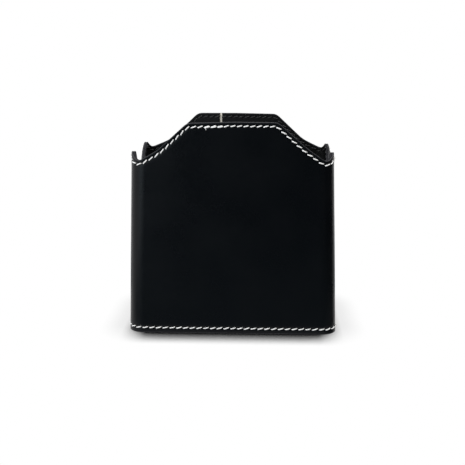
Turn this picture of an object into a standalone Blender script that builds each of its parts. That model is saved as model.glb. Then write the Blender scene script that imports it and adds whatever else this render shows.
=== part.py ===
"""Leather ever ready case: an upright, open-topped camera case of black leather.

One leather band makes all four walls and is butt-joined at the back. Its top edge rises in a
flat peak at front and back, dips near the corners, lifts to an ear at each corner and is
scooped down along each side, clear of the camera's strap lugs. A thin lining is stitched in
along that edge. The base is a wet-formed leather tray, turned rim down and stitched in at the
foot. A captive screw in the base holds the camera, and its knob stays within the recess.

Run: blender --background --python part.py
Frame: metres, +Z up, the front faces -Y, and the origin is under the middle of the base.
"""

import math

import bmesh
import bpy
from mathutils import Vector

MM = 0.001

# ---------------------------------------------------------------- driving dimensions, in mm
BASE_WIDTH = 120.0  # over the leather, at the foot
BASE_DEPTH = 72.0
CORNER_RADIUS = 8.6  # of the outside of the wall, in plan
SIDE_LEAN = 0.034  # how far each side wall comes in, per mm of height

PEAK_HEIGHT = 121.0  # the flat top of the front and back
PEAK_HALF_WIDTH = 25.2
SHOULDER_FOOT_OUT = 41.6  # where the straight shoulder turns into the hollow
SHOULDER_FOOT_HEIGHT = 104.4
DIP_OUT = 52.2
DIP_HEIGHT = 98.8
EAR_PAST_CORNER = 1.2  # along the side wall, from the end of the corner
EAR_HEIGHT = 104.6
SCOOP_HEIGHT = 91.5  # the lowest place of each side's top edge
SCOOP_HALF_FLAT = 13.0
PEAK_ROUND, HOLLOW_ROUND, DIP_ROUND, EAR_ROUND, SCOOP_ROUND = 7.0, 22.0, 4.5, 3.6, 28.0
# The edge is trimmed by hand, so its four quarters differ a little. Each row is what a quarter
# adds to the peak's height at its end, its half width, the shoulder's, dip's and ear's height,
# and the ear's extra rounding.
HAND_TRIM = (
    (-0.2, 0.0, 2.0, 0.3, 0.0, 0.0),  # front, right half
    (-0.5, 0.0, 0.8, 0.4, -0.5, 3.0),  # back, right half
    (0.0, -1.1, 0.3, 0.7, 0.3, 3.0),  # back, left half
    (-0.7, -0.6, 0.6, 0.4, 0.2, 0.0),  # front, left half
)

WALL_LEATHER = 1.1
WALL_LINING = 0.7
GLUE_LINE = 0.3  # clear space between pieces that lie on each other
JOINT_OFFSET = 10.5  # the wall's joint, left of the middle of the back as seen from the front
JOINT_GAP = 0.3
LINING_SLIT = 1.6  # the lining's ends stop short of each other, so that the tape shows
TAPE_WIDTH = 9.0
TAPE_THICKNESS = 0.18

BASE_LEATHER = 1.4
BASE_RECESS = 8.5  # from what the case stands on up to the underside of its base
BASE_BEND = 2.4  # outside radius of the turned-down rim
BOARD_THICKNESS = 1.5
PAD_THICKNESS = 3.0

THREAD_DIAMETER = 0.7
THREAD_CLEARANCE = 0.1
STITCH_MARGIN = 2.2  # from the cut edge to the middle of the top seam
FOOT_STITCH_HEIGHT = 3.2
SEAM_ROW_OFFSET = 3.0  # each row of the back seam, from the joint
SEAM_ROW_START = 9.0
SEAM_ROW_STOP = 4.6  # below the top seam

EYELET_BORE = 3.5  # radii from here on
EYELET_BARREL = 4.2
EYELET_FLANGE = 7.0
EYELET_METAL = 0.6  # thickness of a flange
STUD_RADIUS = 3.175  # the quarter-inch camera thread
STUD_ABOVE_PAD = 5.5  # how far the raised stud stands up into the pocket
STUD_CHAMFER = 0.6
NECK_RADIUS = 2.9
GROOVE_RADIUS = 2.2
CLIP_BORE = 2.3
CLIP_RADIUS = 5.4
CLIP_THICKNESS = 0.7
CLIP_CLEARANCE = 0.1  # in the groove, above and below
CLIP_MOUTH_DEGREES = 70.0
SCREW_FLOAT = 1.2  # how far the captive screw slides up
KNOB_RADIUS = 9.0
KNOB_GROUND_CLEARANCE = 0.5
KNOB_RIDGES = 30
KNOB_RIDGE_DEPTH = 0.35
KNOB_CHAMFER = 0.5
SOCKET_RADIUS = 2.6  # the tripod thread in the knob's face
SOCKET_DEPTH = 4.4

CORNER_STEPS = 9  # facets of a corner of the wall
ROUND_STEPS = 40  # facets of a turned piece
FILLET_STEP = math.radians(11.0)

# ---------------------------------------------------------------- heights that follow, in mm
BASE_TOP = BASE_RECESS + BASE_LEATHER
BOARD_BOTTOM = BASE_TOP + GLUE_LINE
BOARD_TOP = BOARD_BOTTOM + BOARD_THICKNESS
PAD_BOTTOM = BOARD_TOP + GLUE_LINE
PAD_TOP = PAD_BOTTOM + PAD_THICKNESS
EYELET_BOTTOM = BASE_RECESS - GLUE_LINE - EYELET_METAL
WASHER_BOTTOM = BOARD_TOP + GLUE_LINE
WASHER_TOP = WASHER_BOTTOM + EYELET_METAL
CLIP_BOTTOM = WASHER_TOP + GLUE_LINE
KNOB_TOP = EYELET_BOTTOM - GLUE_LINE - SCREW_FLOAT
STUD_TOP = PAD_TOP + STUD_ABOVE_PAD - SCREW_FLOAT

# ---------------------------------------------------------------- the wall's plan
FRONT_FLAT = BASE_WIDTH / 2 - CORNER_RADIUS  # half the flat part of the front, at the foot
SIDE_FLAT = BASE_DEPTH / 2 - CORNER_RADIUS
CORNER_ARC = CORNER_RADIUS * math.pi / 2
QUARTER = FRONT_FLAT + CORNER_ARC + SIDE_FLAT
PERIMETER = 4 * QUARTER
JOINT_AT = 2 * QUARTER + JOINT_OFFSET  # perimeter runs from the front's middle towards +X


def wall_point(along, height, inset=0.0):
    """A point of the wall, in metres: along its perimeter, at a height, inset from its outside."""
    along %= PERIMETER
    quarter = int(along // QUARTER)
    mirrored = quarter % 2 == 1
    u = along - quarter * QUARTER
    if mirrored:
        u = QUARTER - u
    flat = FRONT_FLAT - SIDE_LEAN * height
    if u <= FRONT_FLAT:
        x, y = u / FRONT_FLAT * flat, SIDE_FLAT + CORNER_RADIUS - inset
    elif u <= FRONT_FLAT + CORNER_ARC:
        angle = (u - FRONT_FLAT) / CORNER_RADIUS
        radius = CORNER_RADIUS - inset
        x = flat + radius * math.sin(angle)
        y = SIDE_FLAT + radius * math.cos(angle)
    else:
        x, y = flat + CORNER_RADIUS - inset, QUARTER - u
    x_sign = 1 if quarter in (0, 1) else -1
    y_sign = -1 if quarter in (0, 3) else 1
    return Vector((x_sign * x, y_sign * y, height)) * MM


def place_at(x, height):
    """The perimeter place, in the first quarter, whose outside stands at x at this height."""
    flat = FRONT_FLAT - SIDE_LEAN * height
    if x <= flat:
        return x / flat * FRONT_FLAT
    return FRONT_FLAT + CORNER_RADIUS * math.asin((x - flat) / CORNER_RADIUS)


def plan_stations():
    """Perimeter places at which the wall's plan bends, for one quarter."""
    corner = [FRONT_FLAT + CORNER_ARC * i / CORNER_STEPS for i in range(CORNER_STEPS + 1)]
    return [0.0, *corner, QUARTER]


def whole_turn(quarter_values):
    """Mirrors places of one quarter round the whole perimeter, in order."""
    places = set()
    for u in quarter_values:
        for s in (u, 2 * QUARTER - u, 2 * QUARTER + u, PERIMETER - u):
            places.add(round(s % PERIMETER, 6))
    return sorted(places)


# ---------------------------------------------------------------- the top edge
def rounded(corners):
    """A flat outline through (u, z, fillet radius) corners, its fillets as short chords."""
    outline = [corners[0][:2]]
    for before, here, after in zip(corners, corners[1:], corners[2:]):
        centre = Vector(here[:2])
        back = (Vector(before[:2]) - centre).normalized()
        ahead = (Vector(after[:2]) - centre).normalized()
        turn = math.pi - back.angle(ahead)
        reach = here[2] * math.tan(turn / 2)
        middle = centre + (back + ahead).normalized() * here[2] / math.cos(turn / 2)
        start = (centre + back * reach - middle).normalized()
        end = (centre + ahead * reach - middle).normalized()
        steps = max(2, math.ceil(turn / FILLET_STEP))
        for i in range(steps + 1):
            outline.append(tuple(middle + start.slerp(end, i / steps) * here[2]))
    return outline + [corners[-1][:2]]


def quarter_outline(trim):
    """A quarter of the top edge as (place, height) pairs, from a peak's middle to a scoop's."""
    peak_end = PEAK_HEIGHT + trim[0]
    half_width = PEAK_HALF_WIDTH + trim[1]
    shoulder, dip = SHOULDER_FOOT_HEIGHT + trim[2], DIP_HEIGHT + trim[3]
    ear_place = FRONT_FLAT + CORNER_ARC + EAR_PAST_CORNER
    return rounded([
        (0.0, PEAK_HEIGHT, 0.0),
        (place_at(half_width, peak_end), peak_end, PEAK_ROUND),
        (place_at(SHOULDER_FOOT_OUT, shoulder), shoulder, HOLLOW_ROUND),
        (place_at(DIP_OUT, dip), dip, DIP_ROUND),
        (ear_place, EAR_HEIGHT + trim[4], EAR_ROUND + trim[5]),
        (QUARTER - SCOOP_HALF_FLAT, SCOOP_HEIGHT, SCOOP_ROUND),
        (QUARTER, SCOOP_HEIGHT, 0.0),
    ])


def top_edge():
    """The wall's top edge as (perimeter place, height) pairs, once round from the front."""
    heights = {}
    for part, trim in enumerate(HAND_TRIM):
        outline = quarter_outline(trim)
        places = {round(u, 6) for u, _ in outline} | {round(u, 6) for u in plan_stations()}
        for u in places:
            s = (u, 2 * QUARTER - u, 2 * QUARTER + u, PERIMETER - u)[part]
            heights[round(s % PERIMETER, 6)] = height_on(outline, u)
    return sorted(heights.items())


def height_on(outline, u):
    """The outline's height at u, on the chord that spans it."""
    for (u0, z0), (u1, z1) in zip(outline, outline[1:]):
        if u0 <= u <= u1 and u1 > u0:
            return z0 + (z1 - z0) * (u - u0) / (u1 - u0)
    return outline[-1][1]


def seam_below(edge, margin):
    """The line that runs margin below a closed edge, square to it, on the flattened leather."""
    line = []
    count = len(edge)
    for i, (s, z) in enumerate(edge):
        s0, z0 = edge[i - 1]
        s1, z1 = edge[(i + 1) % count]
        run = (s1 - s0) % PERIMETER
        rise = z1 - z0
        size = math.hypot(run, rise)
        line.append((s + margin * rise / size, z - margin * run / size))
    return line


# ---------------------------------------------------------------- materials and meshes
def material(name, colour, roughness, metallic=0.0):
    made = bpy.data.materials.new(name)
    made.use_nodes = True
    shader = made.node_tree.nodes["Principled BSDF"]
    shader.inputs["Base Color"].default_value = (*colour, 1.0)
    shader.inputs["Roughness"].default_value = roughness
    shader.inputs["Metallic"].default_value = metallic
    return made


def mesh_object(name, bm, finish):
    """Turns a bmesh into a smooth-shaded object that carries its material."""
    bmesh.ops.remove_doubles(bm, verts=bm.verts, dist=1e-7)
    bmesh.ops.recalc_face_normals(bm, faces=bm.faces)
    mesh = bpy.data.meshes.new(name)
    bm.to_mesh(mesh)
    bm.free()
    mesh.shade_smooth()
    mesh.set_sharp_from_angle(angle=math.radians(30))
    mesh.materials.append(finish)
    made = bpy.data.objects.new(name, mesh)
    bpy.context.scene.collection.objects.link(made)
    return made


def skin_rings(bm, rings, closed):
    """Quads between rings of equally many points; a closed stack joins the last to the first."""
    rows = [[bm.verts.new(p) for p in ring] for ring in rings]
    pairs = list(zip(rows, rows[1:]))
    if closed:
        pairs.append((rows[-1], rows[0]))
    for low, high in pairs:
        for i in range(len(low)):
            j = (i + 1) % len(low)
            bm.faces.new((low[i], low[j], high[j], high[i]))
    return rows


def band(name, edge, bottom, outer, inner, gap, finish):
    """An upright strip of leather round the perimeter, open by gap at the joint."""
    start, stop = JOINT_AT + gap / 2, JOINT_AT + PERIMETER - gap / 2
    turned = [(s + k * PERIMETER, z) for k in (0, 1) for s, z in edge]
    places = [(start, PEAK_HEIGHT), *[p for p in turned if start < p[0] < stop], (stop, PEAK_HEIGHT)]
    sections = [
        [
            wall_point(s, bottom, outer),
            wall_point(s, top, outer),
            wall_point(s, top, inner),
            wall_point(s, bottom, inner),
        ]
        for s, top in places
    ]
    bm = bmesh.new()
    rows = skin_rings(bm, sections, closed=False)
    bm.faces.new(rows[0][::-1])
    bm.faces.new(rows[-1])
    return mesh_object(name, bm, finish)


def outline_ring(height, inset):
    return [wall_point(s, height, inset) for s in whole_turn(plan_stations())]


def plate(name, bottom, top, inset, finish):
    """A flat piece of the base, cut to the wall's plan less an inset."""
    bm = bmesh.new()
    low, high = skin_rings(bm, [outline_ring(bottom, inset), outline_ring(top, inset)], closed=False)
    bm.faces.new(low)
    bm.faces.new(high)
    return mesh_object(name, bm, finish)


def turned(name, profile, finish):
    """A solid of revolution about Z from a closed (radius, height) profile in mm."""
    bm = bmesh.new()
    angles = [2 * math.pi * i / ROUND_STEPS for i in range(ROUND_STEPS)]
    rings = [[Vector((r * math.cos(a), r * math.sin(a), z)) * MM for a in angles] for r, z in profile]
    skin_rings(bm, rings, closed=True)
    return mesh_object(name, bm, finish)


def drill(target, radius, bottom, top):
    """Cuts a round hole up the Z axis with a hidden cutter."""
    bpy.ops.mesh.primitive_cylinder_add(
        vertices=ROUND_STEPS,
        radius=radius * MM,
        depth=(top - bottom) * MM,
        location=(0, 0, (top + bottom) / 2 * MM),
    )
    cutter = bpy.context.object
    cutter.name = f"cutter_{target.name}"
    cutter.hide_render = True
    cutter.display_type = "WIRE"
    cut = target.modifiers.new("Hole", "BOOLEAN")
    cut.operation = "DIFFERENCE"
    cut.object = cutter


def thread(name, points, closed, finish):
    """A seam's thread as one plain cord through the points."""
    curve = bpy.data.curves.new(name, "CURVE")
    curve.dimensions = "3D"
    curve.bevel_depth = THREAD_DIAMETER / 2 * MM
    curve.bevel_resolution = 0
    curve.use_fill_caps = not closed
    spline = curve.splines.new("POLY")
    spline.points.add(len(points) - 1)
    for knot, place in zip(spline.points, points):
        knot.co = (*place, 1.0)
    spline.use_cyclic_u = closed
    curve.materials.append(finish)
    made = bpy.data.objects.new(name, curve)
    bpy.context.scene.collection.objects.link(made)
    return made


# ---------------------------------------------------------------- the pieces
def make_walls(edge, leather, lining, tape):
    lining_outside = WALL_LEATHER + GLUE_LINE
    band("wall_leather", edge, 0.0, 0.0, WALL_LEATHER, JOINT_GAP, leather)
    band(
        "wall_lining",
        edge,
        BASE_TOP + GLUE_LINE,
        lining_outside,
        lining_outside + WALL_LINING,
        LINING_SLIT,
        lining,
    )
    make_seam_tape(tape)


def make_seam_tape(finish):
    """The woven tape glued over the joint, between the wall leather and its lining."""
    outer = WALL_LEATHER + (GLUE_LINE - TAPE_THICKNESS) / 2
    inner = outer + TAPE_THICKNESS
    low, high = BASE_TOP + GLUE_LINE, PEAK_HEIGHT
    bm = bmesh.new()
    sections = [
        [wall_point(JOINT_AT + side * TAPE_WIDTH / 2, z, inset) for side in (-1, 1)
         for inset in ((outer, inner) if side < 0 else (inner, outer))]
        for z in (low, high)
    ]
    rows = skin_rings(bm, sections, closed=False)
    bm.faces.new(rows[0])
    bm.faces.new(rows[1])
    mesh_object("seam_tape", bm, finish)


def make_base(leather, board, felt):
    """The wet-formed base tray, the board on it and the felt pad that the camera stands on."""
    outside = WALL_LEATHER + GLUE_LINE
    under = outside + BASE_LEATHER
    profile = [(under, 0.0), (outside, 0.0)]
    bend_steps = 4
    for i in range(bend_steps + 1):
        a = math.pi / 2 * i / bend_steps
        profile.append((
            outside + BASE_BEND * (1 - math.cos(a)),
            BASE_TOP - BASE_BEND * (1 - math.sin(a)),
        ))
    inner_bend = BASE_BEND - BASE_LEATHER
    hollow = []
    for i in range(bend_steps + 1):
        a = math.pi / 2 * i / bend_steps
        hollow.append((
            under + inner_bend * (1 - math.cos(a)),
            BASE_RECESS - inner_bend * (1 - math.sin(a)),
        ))
    bm = bmesh.new()
    rings = [outline_ring(z, inset) for inset, z in [*hollow[::-1], *profile]]
    rows = skin_rings(bm, rings, closed=False)
    bm.faces.new(rows[0])
    bm.faces.new(rows[-1])
    tray = mesh_object("base_leather", bm, leather)
    drill(tray, EYELET_BARREL + GLUE_LINE, BASE_RECESS - 1, BASE_TOP + 1)

    inside_lining = WALL_LEATHER + GLUE_LINE + WALL_LINING + GLUE_LINE
    stiffener = plate("base_board", BOARD_BOTTOM, BOARD_TOP, inside_lining, board)
    drill(stiffener, EYELET_BARREL + GLUE_LINE, BOARD_BOTTOM - 1, BOARD_TOP + 1)
    pad = plate("floor_pad", PAD_BOTTOM, PAD_TOP, inside_lining, felt)
    drill(pad, EYELET_FLANGE + GLUE_LINE, PAD_BOTTOM - 1, PAD_TOP + 1)


def make_eyelet(metal):
    """The eyelet through tray and board, and the washer that its barrel is rolled over."""
    turned("base_eyelet", [
        (EYELET_BORE, EYELET_BOTTOM),
        (EYELET_FLANGE, EYELET_BOTTOM),
        (EYELET_FLANGE, EYELET_BOTTOM + EYELET_METAL),
        (EYELET_BARREL, EYELET_BOTTOM + EYELET_METAL),
        (EYELET_BARREL, WASHER_TOP),
        (EYELET_BORE, WASHER_TOP),
    ], metal)
    turned("eyelet_washer", [
        (EYELET_BARREL + CLIP_CLEARANCE, WASHER_BOTTOM),
        (EYELET_FLANGE, WASHER_BOTTOM),
        (EYELET_FLANGE, WASHER_TOP),
        (EYELET_BARREL + CLIP_CLEARANCE, WASHER_TOP),
    ], metal)


def make_clip(metal):
    """The open retaining clip that sits in the screw's groove."""
    half_mouth = math.radians(CLIP_MOUTH_DEGREES / 2)
    steps = 28
    sweep = 2 * (math.pi - half_mouth)
    sections = []
    for i in range(steps + 1):
        a = half_mouth + sweep * i / steps
        across = Vector((math.cos(a), math.sin(a), 0))
        sections.append([
            (across * r + Vector((0, 0, z))) * MM
            for r, z in (
                (CLIP_BORE, CLIP_BOTTOM),
                (CLIP_RADIUS, CLIP_BOTTOM),
                (CLIP_RADIUS, CLIP_BOTTOM + CLIP_THICKNESS),
                (CLIP_BORE, CLIP_BOTTOM + CLIP_THICKNESS),
            )
        ])
    bm = bmesh.new()
    rows = skin_rings(bm, sections, closed=False)
    bm.faces.new(rows[0][::-1])
    bm.faces.new(rows[-1])
    mesh_object("retaining_clip", bm, metal)


def knob_ring(radius, height, ridged):
    """A ring of the knob's rim, ridged or plain, with two points to each ridge's half."""
    ring = []
    for i in range(2 * KNOB_RIDGES):
        a = math.pi * i / KNOB_RIDGES
        r = radius - (KNOB_RIDGE_DEPTH if ridged and i % 2 else 0.0)
        ring.append(Vector((r * math.cos(a), r * math.sin(a), height)) * MM)
    return ring


def make_screw(metal):
    """The captive screw: knurled knob with a tripod socket, neck, clip groove and stud."""
    knob_bottom = KNOB_GROUND_CLEARANCE
    groove_low = CLIP_BOTTOM - CLIP_CLEARANCE
    groove_high = CLIP_BOTTOM + CLIP_THICKNESS + CLIP_CLEARANCE
    rings = [
        (SOCKET_RADIUS, knob_bottom + SOCKET_DEPTH, False),
        (SOCKET_RADIUS, knob_bottom, False),
        (KNOB_RADIUS - KNOB_CHAMFER - KNOB_RIDGE_DEPTH, knob_bottom, False),
        (KNOB_RADIUS, knob_bottom + KNOB_CHAMFER, True),
        (KNOB_RADIUS, KNOB_TOP - KNOB_CHAMFER, True),
        (KNOB_RADIUS - KNOB_CHAMFER - KNOB_RIDGE_DEPTH, KNOB_TOP, False),
        (NECK_RADIUS, KNOB_TOP, False),
        (NECK_RADIUS, groove_low, False),
        (GROOVE_RADIUS, groove_low, False),
        (GROOVE_RADIUS, groove_high, False),
        (STUD_RADIUS, groove_high, False),
        (STUD_RADIUS, STUD_TOP - STUD_CHAMFER, False),
        (STUD_RADIUS - STUD_CHAMFER, STUD_TOP, False),
    ]
    bm = bmesh.new()
    rows = skin_rings(bm, [knob_ring(*ring) for ring in rings], closed=False)
    bm.faces.new(rows[0])
    bm.faces.new(rows[-1])
    mesh_object("tripod_screw", bm, metal)


def make_stitching(edge, white, black):
    """The thread lines of the edge seams, white outside and black inside, and the back rows."""
    out = -(THREAD_DIAMETER / 2 + THREAD_CLEARANCE)
    line = seam_below(edge, STITCH_MARGIN)
    lining_inside = WALL_LEATHER + GLUE_LINE + WALL_LINING - out
    rim_inside = WALL_LEATHER + GLUE_LINE + BASE_LEATHER - out
    foot = [(s, FOOT_STITCH_HEIGHT) for s in whole_turn(plan_stations())]
    thread("top_stitch_outside", [wall_point(s, z, out) for s, z in line], True, white)
    thread("foot_stitch_outside", [wall_point(s, z, out) for s, z in foot], True, white)
    thread("foot_stitch_inside", [wall_point(s, z, rim_inside) for s, z in foot], True, black)
    inside = [wall_point(s, z, lining_inside) for s, z in line]
    thread("top_stitch_inside", inside, True, black)
    top = PEAK_HEIGHT - STITCH_MARGIN - SEAM_ROW_STOP
    for side, name in ((-1, "back_seam_stitch_right"), (1, "back_seam_stitch_left")):
        place = JOINT_AT + side * SEAM_ROW_OFFSET
        row = [wall_point(place, z, out) for z in (SEAM_ROW_START, top)]
        thread(name, row, False, white)


def main():
    for old in list(bpy.data.objects):
        bpy.data.objects.remove(old)
    leather = material("black_leather", (0.010, 0.012, 0.014), 0.45)
    lining = material("black_lining", (0.008, 0.008, 0.009), 0.7)
    tape = material("cotton_tape", (0.55, 0.53, 0.48), 0.9)
    board = material("fibre_board", (0.20, 0.15, 0.10), 0.8)
    felt = material("black_felt", (0.010, 0.010, 0.011), 0.95)
    white = material("white_thread", (0.85, 0.84, 0.80), 0.6)
    black = material("black_thread", (0.012, 0.012, 0.012), 0.6)
    nickel = material("nickel_plate", (0.62, 0.60, 0.56), 0.3, 1.0)

    edge = top_edge()
    make_walls(edge, leather, lining, tape)
    make_base(leather, board, felt)
    make_eyelet(nickel)
    make_clip(nickel)
    make_screw(nickel)
    make_stitching(edge, white, black)


main()
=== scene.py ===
# %% [markdown]
# # A stitched leather camera case
# The case is what used to be sold as an ever ready case: an upright box of black leather that a
# camera lives in, sewn with white thread. It has one wall, cut flat and folded round, a thin
# lining, a base that is wet-formed like a tray, a felt floor and a captive screw.
# This lesson makes each piece as its maker would. Leather is cut flat first, with its holes and
# its seam groove, and only then folded. Blender can fold a mesh the same way, with one set of
# Geometry Nodes that every sewn piece and every seam goes through.

# %% Load the fixed frame
import math

import bmesh
import bpy
import numpy as np
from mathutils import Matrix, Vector, kdtree, noise


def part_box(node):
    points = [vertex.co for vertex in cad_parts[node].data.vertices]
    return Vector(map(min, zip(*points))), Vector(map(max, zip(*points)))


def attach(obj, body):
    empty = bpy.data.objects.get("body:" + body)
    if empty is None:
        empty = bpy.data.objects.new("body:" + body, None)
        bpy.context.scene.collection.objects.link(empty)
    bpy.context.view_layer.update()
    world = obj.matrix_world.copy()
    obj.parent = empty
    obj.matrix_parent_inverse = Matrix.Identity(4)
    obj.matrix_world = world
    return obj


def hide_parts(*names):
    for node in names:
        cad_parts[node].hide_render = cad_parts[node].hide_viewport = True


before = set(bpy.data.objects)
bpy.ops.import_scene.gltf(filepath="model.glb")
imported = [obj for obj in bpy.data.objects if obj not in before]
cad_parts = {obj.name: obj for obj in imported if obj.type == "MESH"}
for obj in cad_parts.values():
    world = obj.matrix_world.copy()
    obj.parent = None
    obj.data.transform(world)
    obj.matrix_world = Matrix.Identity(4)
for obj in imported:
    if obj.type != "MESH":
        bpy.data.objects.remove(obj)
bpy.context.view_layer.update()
MM = 0.001

# %% [markdown]
# ## Two small helpers
# A node tree is easier to read when each node is one line: what kind it is, what feeds it and
# which settings differ from its defaults. Colours are written as a designer writes them, as sRGB
# hex, and one function turns them to the linear values that a shader wants.


# %% Helpers for node trees and colours
def feed(tree, node, links):
    """Links a node's inputs to output sockets, or to the first output of other nodes."""
    for key, source in links.items():
        first = isinstance(source, bpy.types.Node)
        tree.links.new(source.outputs[0] if first else source, node.inputs[key])


def add_node(tree, kind, links=None, values=None, **settings):
    """Adds a node: links feeds its inputs, and values sets the ones left unlinked."""
    node = tree.nodes.new(kind)
    for key, value in settings.items():
        setattr(node, key, value)
    for key, value in (values or {}).items():
        node.inputs[key].default_value = value
    feed(tree, node, links or {})
    return node


def linear(hex_colour):
    """A linear RGBA colour from an sRGB hex string."""
    parts = [int(hex_colour[i : i + 2], 16) / 255 for i in (1, 3, 5)]
    return (*[p / 12.92 if p <= 0.04045 else ((p + 0.055) / 1.055) ** 2.4 for p in parts], 1.0)


# %% [markdown]
# ## The case's measures
# What the frame already holds is measured from it. The rest is what a pattern maker notes beside
# the drawing: how far the sides lean in, where the top edge rises and dips, and how wide the
# stitches are. All of it is in millimetres.

# %% Measures
wall_low, wall_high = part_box("wall_leather")
lining_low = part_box("wall_lining")[0]
WIDTH = (wall_high.x - wall_low.x) / MM
DEPTH = (wall_high.y - wall_low.y) / MM
HEIGHT = wall_high.z / MM
LINING_FOOT = lining_low.z / MM
CORNER = 8.6  # radius of the upright corners
LEAN = 0.034  # how far each side leans inward for every millimetre of height
FRONT_FLAT = WIDTH / 2 - CORNER
SIDE_FLAT = DEPTH / 2 - CORNER
CORNER_ARC = CORNER * math.pi / 2
QUARTER = FRONT_FLAT + CORNER_ARC + SIDE_FLAT
PERIMETER = 4 * QUARTER
JOINT = 2 * QUARTER + 10.5  # where the wall's two ends meet, off the middle of the back
JOINT_GAP, LINING_SLIT, TAPE_WIDTH = 0.3, 1.6, 9.0
SEAM_ROW_OFFSET, SEAM_ROW_START, SEAM_ROW_STOP = 3.0, 9.0, 4.6

PEAK_HALF_WIDTH, PEAK_ROUND = 25.2, 7.0
SHOULDER_OUT, SHOULDER_HEIGHT, HOLLOW_ROUND = 41.6, 104.4, 22.0
DIP_OUT, DIP_HEIGHT, DIP_ROUND = 52.2, 98.8, 4.5
EAR_PAST_CORNER, EAR_HEIGHT, EAR_ROUND = 1.2, 104.6, 3.6
SCOOP_HALF_FLAT, SCOOP_HEIGHT, SCOOP_ROUND = 13.0, 91.5, 28.0

LEATHER = (0.0, 1.14)  # how deep each layer starts and ends, from the outside of the wall
TAPE = (1.17, 1.33)
LINING = (1.36, 2.1)
CLOSED_AT_EDGE = 1.17  # where the lining starts along the edge, so that the layers read as one
SEAM_MARGIN, FOOT_SEAM = 2.2, 3.2
STITCH_PITCH, STITCH_LENGTH, THREAD = 3.9, 3.4, 0.7
print(f"flat wall {PERIMETER:.1f} mm round, {HEIGHT:.1f} mm at its peaks")

# %% [markdown]
# ## Finishes
# Each finish starts from what the real thing is. The wall is full-grain calf, dyed through,
# waxed and polished: nearly black with a cold cast, smooth, with a grain of about half a
# millimetre and finer pores. Its cut edges are sanded and burnished, so they are greyer. The
# patterns are read from Object coordinates in metres, so a scale of 1 / size sets the real size.


# %% Leather
CLOUD_MM = 28.0  # size of the clouds in dye and wax


def new_material(name):
    """A material, its tree, its shader, and Object coordinates for its patterns."""
    made = bpy.data.materials.new(name)
    made.use_nodes = True
    tree = made.node_tree
    spot = add_node(tree, "ShaderNodeTexCoord").outputs["Object"]
    return made, tree, tree.nodes["Principled BSDF"], spot


def leather_material(name, face, pale, cut, grain_mm, roughness, specular, depth_mm):
    """Dyed full-grain leather: grain cells, pores, cloudy dye and a burnished cut edge."""
    made, tree, shader, spot = new_material(name)
    cells = add_node(tree, "ShaderNodeTexVoronoi", {"Vector": spot},
                     {"Scale": 1 / (grain_mm * MM), "Randomness": 0.9},
                     feature="DISTANCE_TO_EDGE")
    pores = add_node(tree, "ShaderNodeTexNoise", {"Vector": spot},
                     {"Scale": 1 / (grain_mm * 0.55 * MM), "Detail": 3.0})
    cloud = add_node(tree, "ShaderNodeTexNoise", {"Vector": spot},
                     {"Scale": 1 / (CLOUD_MM * MM), "Detail": 4.0})
    creases = add_node(tree, "ShaderNodeValToRGB", {"Fac": cells.outputs["Distance"]})
    creases.color_ramp.elements[0].position, creases.color_ramp.elements[1].position = 0.0, 0.22
    fine = add_node(tree, "ShaderNodeMath", {0: pores.outputs["Fac"]}, {1: 0.45},
                    operation="MULTIPLY")
    relief = add_node(tree, "ShaderNodeMath", {0: creases.outputs["Color"], 1: fine},
                      operation="ADD")
    bump = add_node(tree, "ShaderNodeBump", {"Height": relief},
                    {"Strength": 0.35, "Distance": depth_mm * MM})
    dye = add_node(tree, "ShaderNodeMixRGB", {"Fac": cloud.outputs["Fac"]},
                   {"Color1": linear(face), "Color2": linear(pale)})
    edge = add_node(tree, "ShaderNodeAttribute", attribute_name="cut_edge")
    colour = add_node(tree, "ShaderNodeMixRGB", {"Fac": edge.outputs["Fac"], "Color1": dye},
                      {"Color2": linear(cut)})
    # Wax is rubbed in unevenly, so the gloss is cloudy as well. A cut edge takes none.
    polish = add_node(tree, "ShaderNodeMapRange", {"Value": cloud.outputs["Fac"]},
                      {"From Min": 0.3, "From Max": 0.7, "To Min": roughness - 0.05,
                       "To Max": roughness + 0.05})
    dull = add_node(tree, "ShaderNodeMath", {0: edge.outputs["Fac"]}, {1: 0.22, 2: 0.0},
                    operation="MULTIPLY")
    rough = add_node(tree, "ShaderNodeMath", {0: polish, 1: dull}, operation="ADD")
    shader.inputs["Specular IOR Level"].default_value = specular
    feed(tree, shader, {"Base Color": colour, "Roughness": rough, "Normal": bump})
    return made


# Calf is waxed and polished: near black with a cold cast, and it mirrors its surroundings softly.
calf = leather_material("waxed_black_calf", "#040609", "#06080b", "#1d1d21", 0.55, 0.29, 0.15,
                        0.05)
# Skiver is split sheepskin with no polish: neutral black and matt, with a coarser grain.
skiver = leather_material("black_skiver_lining", "#060607", "#09090a", "#1d1d21", 0.8, 0.6, 0.15,
                          0.06)


# %% [markdown]
# ## Thread, tape, felt and metal
# The thread is waxed linen of three plies: a slow twist shows as slanting ridges. The tape is
# plain woven cotton. Felt is matted wool, so it has no weave, only fuzz and a soft sheen at
# grazing angles. The fittings are nickel plate on brass, polished and a little worn.


# %% Patterns of thread, cloth, felt and board
def plies(tree, spot):
    """Slanting ridges of three twisted plies, from the stitch's own UV map."""
    around = add_node(tree, "ShaderNodeUVMap", uv_map="thread")
    split = add_node(tree, "ShaderNodeSeparateXYZ", {0: around})
    along = add_node(tree, "ShaderNodeMath", {0: split.outputs["X"]}, {1: 4.0},
                     operation="MULTIPLY")
    ply = add_node(tree, "ShaderNodeMath", {0: split.outputs["Y"]}, {1: 3.0},
                   operation="MULTIPLY")
    turn = add_node(tree, "ShaderNodeMath", {0: along, 1: ply}, operation="ADD")
    return add_node(tree, "ShaderNodeMath", {0: turn}, {1: 1.0}, operation="PINGPONG").outputs[0]


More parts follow.
